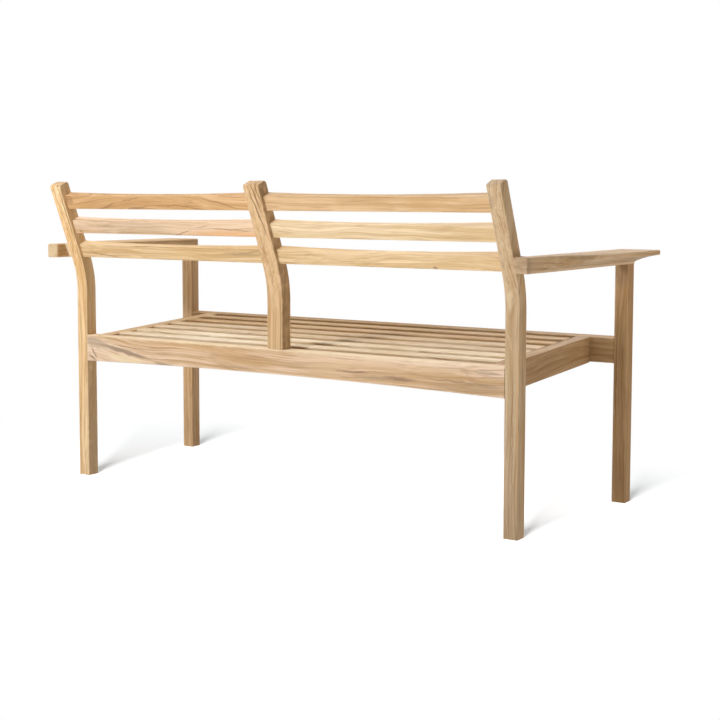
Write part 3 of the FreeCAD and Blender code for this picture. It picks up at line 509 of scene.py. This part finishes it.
# each piece of wood by its node, with left and right as seen from the front; the seat's
# slats follow below
WOOD = {
    "back_leg_right": Wood(
        UPRIGHT, (0.11, 0.02, 0.0), ALONG_X, BLOND, 3, wander=0.006, contrast=1.2,
        marks=(
            # darker over the whole inner -X side: painted shade of that side
            Mark((0.708, 0.24, 0.45), (0.006, 0.60, 0.90), 0.60, HONEY),
            Mark((0.73, 0.35, 0.895), (0.05, 0.06, 0.016), 0.40, SMOKE),
            Mark((0.718, 0.350, 0.880), (0.004, 0.012, 0.006), 0.8, RESIN),
            Mark((0.7155, 0.32, 0.80), (0.0026, 0.20, 0.09), 0.75, RESIN),
            Mark((0.7155, 0.26, 0.68), (0.0022, 0.10, 0.06), 0.6, LATE_WOOD),
            Mark((0.7145, 0.24, 0.36), (0.0016, 0.10, 0.36), 0.4, LATE_WOOD),
            Mark((0.748, 0.30, 0.76), (0.0030, 0.20, 0.14), 0.5, AMBER),
            Mark((0.738, 0.27, 0.69), (0.0020, 0.05, 0.03), 0.5, LATE_WOOD),
        )),
    "back_leg_left": Wood(
        UPRIGHT, (-0.11, 0.025, 0.0), ALONG_X, TAN, 5, rings=0.6, wander=0.009, contrast=1.1,
        marks=(
            Mark((-0.717, 0.33, 0.84), (0.008, 0.03, 0.022), 0.45, SMOKE),
            Mark((-0.7345, 0.305, 0.78), (0.0022, 0.05, 0.04), 0.6, LATE_WOOD),
            Mark((-0.725, 0.244, 0.595), (0.010, 0.02, 0.035), 0.35, SAPWOOD_AND_HIGHLIGHT),
            Mark((-0.722, 0.24, 0.50), (0.0030, 0.02, 0.035), 0.4, CREAM, x_by_z=0.35),
            Mark((-0.734, 0.24, 0.22), (0.0018, 0.10, 0.22), 0.5, LATE_WOOD),
            Mark((-0.7465, 0.24, 0.29), (0.0020, 0.05, 0.30), 0.6, AMBER),
        )),
    "middle_back_post": Wood(
        UPRIGHT, (-0.12, 0.02, 0.0), ALONG_X, HONEY, 8, wander=0.008, contrast=1.2,
        marks=(
            # darker over the whole inner -X side: painted shade of that side
            Mark((-0.031, 0.28, 0.75), (0.007, 0.60, 0.90), 0.70, PAINTED_SHADE_UMBER),
            Mark((-0.003, 0.32, 0.81), (0.0026, 0.10, 0.085), 0.8, RESIN, x_by_z=0.20),
            Mark((-0.008, 0.33, 0.85), (0.0026, 0.10, 0.055), 0.8, RESIN, x_by_z=0.19),
            Mark((-0.017, 0.34, 0.865), (0.0026, 0.10, 0.040), 0.75, RESIN, x_by_z=0.17),
            Mark((0.004, 0.26, 0.66), (0.0018, 0.10, 0.10), 0.4, LATE_WOOD, x_by_z=0.05),
        )),
    "front_leg_right": Wood(UPRIGHT, (0.09, 0.07, 0.0), ALONG_X, GOLDEN, 11, wander=0.008),
    "front_leg_left": Wood(
        UPRIGHT, (-0.09, 0.08, 0.0), ALONG_X, BROWN, 14, wander=0.006, contrast=1.2,
        marks=(
            # darker all round the leg just under the armrest: painted shade of the armrest
            Mark((-0.784, -0.31, 0.65), (0.03, 0.03, 0.06), 0.45, PLUM),
            Mark((-0.772, -0.31, 0.40), (0.0020, 0.05, 0.25), 0.4, PLUM),
            Mark((-0.790, -0.31, 0.30), (0.0020, 0.05, 0.30), 0.4, PLUM),
        )),
    "rear_rail": Wood(
        ALONG_X, (0.0, 0.05, 0.11), UPRIGHT, BEIGE, 17, wander=0.012, streaks=0.5, contrast=1.4,
        swirls=(Swirl((0.74, 0.24, 0.40), (0.34, 0.10, 0.12), (0.0, 0.0, -0.045)),),
        marks=(
            Mark((0.350, 0.24, 0.415), (0.330, 0.04, 0.014), 0.15, AMBER),
            Mark((0.560, 0.24, 0.368), (0.085, 0.04, 0.012), 0.65, SAPWOOD_AND_HIGHLIGHT, z_by_x=0.10),
            Mark((0.675, 0.24, 0.410), (0.060, 0.04, 0.020), 0.50, SMOKE, z_by_x=0.15),
            Mark((0.557, 0.24, 0.389), (0.115, 0.04, 0.0085), 0.65, PLUM, z_by_x=0.17),
            Mark((0.540, 0.24, 0.403), (0.080, 0.04, 0.0025), 0.6, LATE_WOOD, z_by_x=0.08),
            Mark((0.682, 0.24, 0.380), (0.014, 0.04, 0.0050), 0.8, PLUM, z_by_x=1.2),
            Mark((0.690, 0.24, 0.366), (0.020, 0.04, 0.0035), 0.7, PLUM, z_by_x=0.4),
            Mark((0.400, 0.24, 0.361), (0.055, 0.04, 0.0060), 0.6, SMOKE, z_by_x=0.10),
            Mark((0.140, 0.24, 0.372), (0.100, 0.04, 0.0060), 0.35, SMOKE),
            # a pale strip along the rail's whole top edge: painted highlight
            Mark((0.000, 0.23, 0.432), (0.900, 0.04, 0.006), 0.5, SAPWOOD_AND_HIGHLIGHT),
            Mark((-0.350, 0.24, 0.408), (0.340, 0.04, 0.016), 0.45, GOLDEN),
            Mark((-0.360, 0.24, 0.376), (0.110, 0.04, 0.008), 0.35, SMOKE),
            Mark((-0.600, 0.24, 0.370), (0.140, 0.04, 0.016), 0.30, SMOKE),
            Mark((-0.570, 0.24, 0.385), (0.110, 0.04, 0.0025), 0.5, PLUM, z_by_x=0.03),
            Mark((-0.255, 0.24, 0.387), (0.062, 0.04, 0.0030), 0.6, PLUM),
            Mark((-0.405, 0.24, 0.380), (0.060, 0.04, 0.0060), 0.5, PLUM, z_by_x=0.05),
            Mark((-0.665, 0.24, 0.413), (0.050, 0.04, 0.0045), 0.5, PLUM, z_by_x=0.03),
            Mark((-0.670, 0.24, 0.379), (0.055, 0.04, 0.0060), 0.4, SMOKE),
        )),
    # the front rail's darker tone is in part painted shade from under the seat
    "front_rail": Wood(ALONG_X, (0.0, 0.05, 0.10), UPRIGHT, BROWN, 19, contrast=1.2),
    "side_rail_right": Wood(ALONG_SEAT, (0.08, 0.0, 0.04), ALONG_X, HONEY, 23),
    "side_rail_left": Wood(
        ALONG_SEAT, (-0.02, 0.0, 0.12), ALONG_X, NUT, 29, wander=0.012, contrast=1.2),
    "armrest_right": Wood(
        ALONG_Y, (0.03, 0.0, 0.08), UPRIGHT, HONEY, 31, contrast=1.1,
        marks=(
            Mark((0.785, 0.307, 0.69), (0.040, 0.006, 0.04), 0.75, CREAM),
            # darker on the inner side by the rear end: painted shadow of the back leg
            Mark((0.762, 0.285, 0.69), (0.006, 0.018, 0.04), 0.6, BROWN),
        )),
    "armrest_left": Wood(
        ALONG_Y, (-0.02, 0.0, 0.12), UPRIGHT, FAWN, 37, wander=0.010, contrast=1.2,
        marks=(
            Mark((-0.80, 0.300, 0.69), (0.05, 0.0155, 0.05), 0.45, SMOKE),
            Mark((-0.85, 0.10, 0.70), (0.03, 0.07, 0.006), 0.45, SMOKE),
            Mark((-0.86, -0.02, 0.69), (0.04, 0.14, 0.012), 0.4, SAPWOOD_AND_HIGHLIGHT),
        )),
    "armrest_spacer_right": Wood(UPRIGHT, (0.05, 0.02, 0.0), ALONG_X, CREAM, 41),
    "armrest_spacer_left": Wood(UPRIGHT, (-0.05, 0.02, 0.0), ALONG_X, BROWN, 43),
    "seat_bearer": Wood(ALONG_SEAT, (0.06, 0.0, 0.04), ALONG_X, HONEY, 97),
    "armrest_dowels": Wood(ALONG_X, (0.0, 0.02, 0.06), UPRIGHT, CREAM, 99),
    "back_slat_right_1": Wood(
        ALONG_X, (0.0, 0.02, 0.12), LEAN_BACK, STRAW, 47, wander=0.008, contrast=1.1,
        marks=(
            Mark((0.63, 0.255, 0.677), (0.09, 0.02, 0.0022), 0.7, LATE_WOOD, z_by_x=0.084),
            Mark((0.09, 0.26, 0.692), (0.08, 0.02, 0.008), 0.35, SMOKE),
            Mark((0.07, 0.26, 0.697), (0.06, 0.02, 0.0018), 0.5, LATE_WOOD, z_by_x=-0.12),
        )),
    "back_slat_right_2": Wood(
        ALONG_X, (0.0, 0.03, -0.13), LEAN_BACK, BEIGE, 51, wander=0.008, contrast=1.3,
        marks=(
            Mark((0.48, 0.28, 0.76), (0.20, 0.05, 0.03), 0.25, SMOKE),
            Mark((0.687, 0.283, 0.747), (0.007, 0.02, 0.0040), 0.65, LATE_WOOD),
            Mark((0.120, 0.28, 0.737), (0.19, 0.05, 0.026), 0.65, AMBER),
            Mark((0.295, 0.282, 0.746), (0.045, 0.02, 0.0024), 0.7, LATE_WOOD, z_by_x=-0.25),
            Mark((0.215, 0.290, 0.766), (0.035, 0.02, 0.0018), 0.5, LATE_WOOD, z_by_x=-0.20),
            Mark((0.110, 0.287, 0.759), (0.11, 0.02, 0.0020), 0.6, LATE_WOOD, z_by_x=0.04),
        )),
    "back_slat_right_3": Wood(
        ALONG_X, (0.0, 0.045, 0.05), LEAN_BACK, GOLDEN, 55, wander=0.008, rings=0.9, contrast=1.2,
        swirls=(Swirl((0.41, 0.31, 0.83), (0.33, 0.10, 0.10), (0.0, 0.0, -0.035)),),
        marks=(
            Mark((0.698, 0.316, 0.838), (0.018, 0.03, 0.016), 0.5, LATE_WOOD),
            Mark((0.548, 0.316, 0.823), (0.045, 0.03, 0.0026), 0.7, LATE_WOOD, z_by_x=-0.32),
            Mark((0.460, 0.316, 0.841), (0.060, 0.03, 0.0022), 0.6, LATE_WOOD, z_by_x=-0.126),
            Mark((0.440, 0.316, 0.817), (0.060, 0.03, 0.0026), 0.7, LATE_WOOD, z_by_x=-0.12),
            Mark((0.290, 0.316, 0.824), (0.110, 0.03, 0.0022), 0.65, LATE_WOOD),
            Mark((0.130, 0.316, 0.832), (0.085, 0.03, 0.0026), 0.65, LATE_WOOD, z_by_x=0.23),
        )),
    "back_slat_left_1": Wood(
        ALONG_X, (0.0, 0.05, 0.06), LEAN_BACK, STRAW, 59, wander=0.012,
        marks=(Mark((-0.517, 0.253, 0.671), (0.008, 0.02, 0.0035), 0.65, PLUM),)),
    "back_slat_left_2": Wood(
        ALONG_X, (0.0, 0.02, -0.13), LEAN_BACK, CREAM, 63, wander=0.008, contrast=0.9),
    "back_slat_left_3": Wood(
        ALONG_X, (0.0, 0.01, 0.14), LEAN_BACK, HONEY, 67, wander=0.005, contrast=1.1),
}

# the slats step darker towards the front of the seat, which in part paints the backrest's shade
SEAT_TONES_AND_SHADE = (IVORY, IVORY, SAND, SAND, HONEY, HONEY)
SEAT_FIRST_SEED = 73
for index, tone in enumerate(SEAT_TONES_AND_SHADE):
    # the heart of the log lies to the rear of one slat and to the front of the next
    to_pith = (0.0, 0.09 * (-1) ** index, 0.03)
    seed = SEAT_FIRST_SEED + 3 * index
    WOOD[f"seat_slat_{index + 1}"] = Wood(
        ALONG_X, to_pith, SEAT_UP, tone, seed, wander=0.008, contrast=1.3)


# ---- screws, and dressing the nodes ----------------------------------------------------

STEEL_DARK = (176, 176, 172)
STEEL_LIGHT = (202, 202, 198)
STEEL_ROUGH = 0.22
SCRATCH_ROUGH = 0.2
SCRATCHES_PER_METRE = 3000.0


def make_steel():
    material = bpy.data.materials.new("screw_steel")
    material.use_nodes = True
    graph = Graph(material.node_tree)
    shader = material.node_tree.nodes["Principled BSDF"]
    coords = graph.add("ShaderNodeTexCoord").outputs["Object"]
    scratches = graph.noise(coords, SCRATCHES_PER_METRE, SCRATCHES_PER_METRE)
    graph.feed(shader.inputs["Roughness"], graph.total(STEEL_ROUGH, (scratches, SCRATCH_ROUGH)))
    tone = graph.mix(scratches, shade(STEEL_DARK), shade(STEEL_LIGHT))
    graph.feed(shader.inputs["Base Color"], tone)
    shader.inputs["Metallic"].default_value = 1.0
    return material


def middle(node):
    low, high = (Vector(corner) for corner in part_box(node))
    return (low + high) / 2


def dress(node, material):
    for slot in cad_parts[node].material_slots:
        slot.material = material


for node, wood in WOOD.items():
    dress(node, make_teak(f"teak_{node}", middle(node), wood))
dress("seat_screws", make_steel())


# ---- floor and world -------------------------------------------------------------------

WHITE = (1.0, 1.0, 1.0, 1.0)

FLOOR_SIZE = 60.0
FLOOR_MIDDLE = (0.0, 0.0, 0.0)

# the floor's grey where it is seen, and the darker one for all other rays, which keeps
# the light that it throws back on to the bench low
FLOOR_SEEN = (0.80, 0.80, 0.80, 1.0)
FLOOR_BOUNCE = (0.45, 0.45, 0.45, 1.0)

# a glow of the floor's own, which keeps the shadows on it pale
FLOOR_GLOW = 0.38
FLOOR_TINT = (0.92, 0.97, 1.0, 1.0)

# the half sizes, in X and in Y, of the part of the floor that keeps its shadows, and the
# shares of them between which it fades to white
FLOOR_REACH = (1.8, 1.0)
FLOOR_FADE = (0.55, 1.0)

WORLD_TINT = (1.0, 0.99, 0.97, 1.0)
WORLD_FILL = 0.03


def seen_rays(graph):
    """1 for rays from the camera, and for those that gloss or glass sends on."""
    path = graph.add("ShaderNodeLightPath").outputs
    sent_on = graph.math("MAXIMUM", path["Is Glossy Ray"], path["Is Transmission Ray"])
    return graph.math("MAXIMUM", path["Is Camera Ray"], sent_on)


def make_floor():
    """A pale floor that keeps the bench's soft shadow and fades to plain white away
    from it, for the eye and for reflections."""
    bpy.ops.mesh.primitive_plane_add(size=FLOOR_SIZE, location=FLOOR_MIDDLE)
    floor = bpy.context.object
    floor.name = "floor"
    material = bpy.data.materials.new("floor_white")
    material.use_nodes = True
    tree = material.node_tree
    tree.nodes.clear()
    graph = Graph(tree)
    bounce = graph.add("ShaderNodeBsdfDiffuse", {"Color": FLOOR_BOUNCE})
    soft = graph.add("ShaderNodeBsdfDiffuse", {"Color": FLOOR_SEEN})
    glow = graph.add("ShaderNodeEmission", {"Color": FLOOR_TINT, "Strength": FLOOR_GLOW})
    near = graph.add("ShaderNodeAddShader", {0: soft.outputs[0], 1: glow.outputs[0]})
    far = graph.add("ShaderNodeEmission", {"Color": WHITE, "Strength": 1.0})
    place = graph.add("ShaderNodeTexCoord").outputs["Object"]
    shares = graph.vector("MULTIPLY", place, (1.0 / FLOOR_REACH[0], 1.0 / FLOOR_REACH[1], 0.0))
    fade = graph.step(graph.vector("LENGTH", shares), *FLOOR_FADE)
    shown = graph.add("ShaderNodeMixShader", {"Fac": fade, 1: near.outputs[0], 2: far.outputs[0]})
    both = graph.add("ShaderNodeMixShader", {
        "Fac": seen_rays(graph), 1: bounce.outputs[0], 2: shown.outputs[0]})
    graph.add("ShaderNodeOutputMaterial", {"Surface": both.outputs[0]})
    floor.data.materials.append(material)
    return floor


def make_world():
    """A white background for rays that are seen, and an even fill for all others."""
    world = bpy.data.worlds.new("studio")
    bpy.context.scene.world = world
    world.use_nodes = True
    tree = world.node_tree
    tree.nodes.clear()
    graph = Graph(tree)
    white = graph.add("ShaderNodeBackground", {"Color": WHITE, "Strength": 1.0})
    fill = graph.add("ShaderNodeBackground", {"Color": WORLD_TINT, "Strength": WORLD_FILL})
    both = graph.add("ShaderNodeMixShader", {
        "Fac": seen_rays(graph), 1: fill.outputs[0], 2: white.outputs[0]})
    graph.add("ShaderNodeOutputWorld", {"Surface": both.outputs[0]})


floor = make_floor()
make_world()


# ---- lamps -----------------------------------------------------------------------------

NEUTRAL = (1.0, 1.0, 1.0)
WARM = (1.0, 0.88, 0.70)
BENCH_MIDDLE = (0.0, 0.1, 0.4)
BENCH_LEFT = (-0.7, 0.1, 0.5)


def add_softbox(name, place, target, width, height, power, colour=NEUTRAL):
    data = bpy.data.lights.new(name, "AREA")
    data.color = colour
    data.shape = "RECTANGLE"
    data.size = width
    data.size_y = height
    data.energy = power
    lamp = bpy.data.objects.new(name, data)
    bpy.context.scene.collection.objects.link(lamp)
    lamp.location = place
    lamp.rotation_euler = (Vector(target) - Vector(place)).to_track_quat("-Z", "Y").to_euler()
    return lamp


def link_lamp(lamp, floor, lights_floor):
    """A lamp lights either the floor alone, or everything but the floor."""
    reach = bpy.data.collections.new(f"{lamp.name}_reach")
    reach.objects.link(floor)
    state = "INCLUDE" if lights_floor else "EXCLUDE"
    reach.collection_objects[0].light_linking.link_state = state
    lamp.light_linking.receiver_collection = reach


for lamp in (
    add_softbox("behind_low", (1.1, 3.9, 0.65), BENCH_MIDDLE, 1.2, 0.9, 30.0),
    add_softbox("behind_high", (1.3, 3.5, 2.5), BENCH_MIDDLE, 0.6, 0.6, 69.0),
    add_softbox("above", (0.5, -0.5, 3.8), BENCH_MIDDLE, 1.3, 1.3, 84.0),
    add_softbox("front_left", (-2.0, -0.3, 0.7), BENCH_LEFT, 1.1, 1.1, 7.5, WARM),
    add_softbox("front", (0.6, -4.0, 0.7), BENCH_MIDDLE, 1.8, 1.2, 32.0),
):
    link_lamp(lamp, floor, False)

# these light the floor past white, so that it renders plain white outside the shadows
for lamp in (
    add_softbox("floor_low", (-1.3, 5.1, 1.1), FLOOR_MIDDLE, 2.0, 0.8, 1350.0),
    add_softbox("floor_above", (0.2, -0.3, 3.8), FLOOR_MIDDLE, 2.4, 2.4, 30.0),
):
    link_lamp(lamp, floor, True)


# ---- camera ----------------------------------------------------------------------------

CAMERA_PLACE = (-2.304, 3.297, 0.855)
CAMERA_YAW = math.radians(33.49)
CAMERA_PITCH = math.radians(4.69)
CAMERA_ROLL = math.radians(0.1)
CAMERA_LENS = 69.8
CAMERA_SENSOR = 36.0
CAMERA_SHIFT_Y = -0.07


def add_camera():
    """Looks along -Y, turned by the yaw towards +X and by the pitch downwards."""
    data = bpy.data.cameras.new("camera")
    data.sensor_width = CAMERA_SENSOR
    data.lens = CAMERA_LENS
    data.shift_y = CAMERA_SHIFT_Y
    camera = bpy.data.objects.new("camera", data)
    bpy.context.scene.collection.objects.link(camera)
    level = math.cos(CAMERA_PITCH)
    ahead = Vector((math.sin(CAMERA_YAW) * level, -math.cos(CAMERA_YAW) * level,
                    -math.sin(CAMERA_PITCH)))
    turned = ahead.to_track_quat("-Z", "Y").to_matrix().to_4x4()
    rolled = Matrix.Rotation(CAMERA_ROLL, 4, "Z")
    camera.matrix_world = Matrix.Translation(CAMERA_PLACE) @ turned @ rolled
    bpy.context.scene.camera = camera


add_camera()
bpy.context.scene.view_settings.view_transform = "Standard"
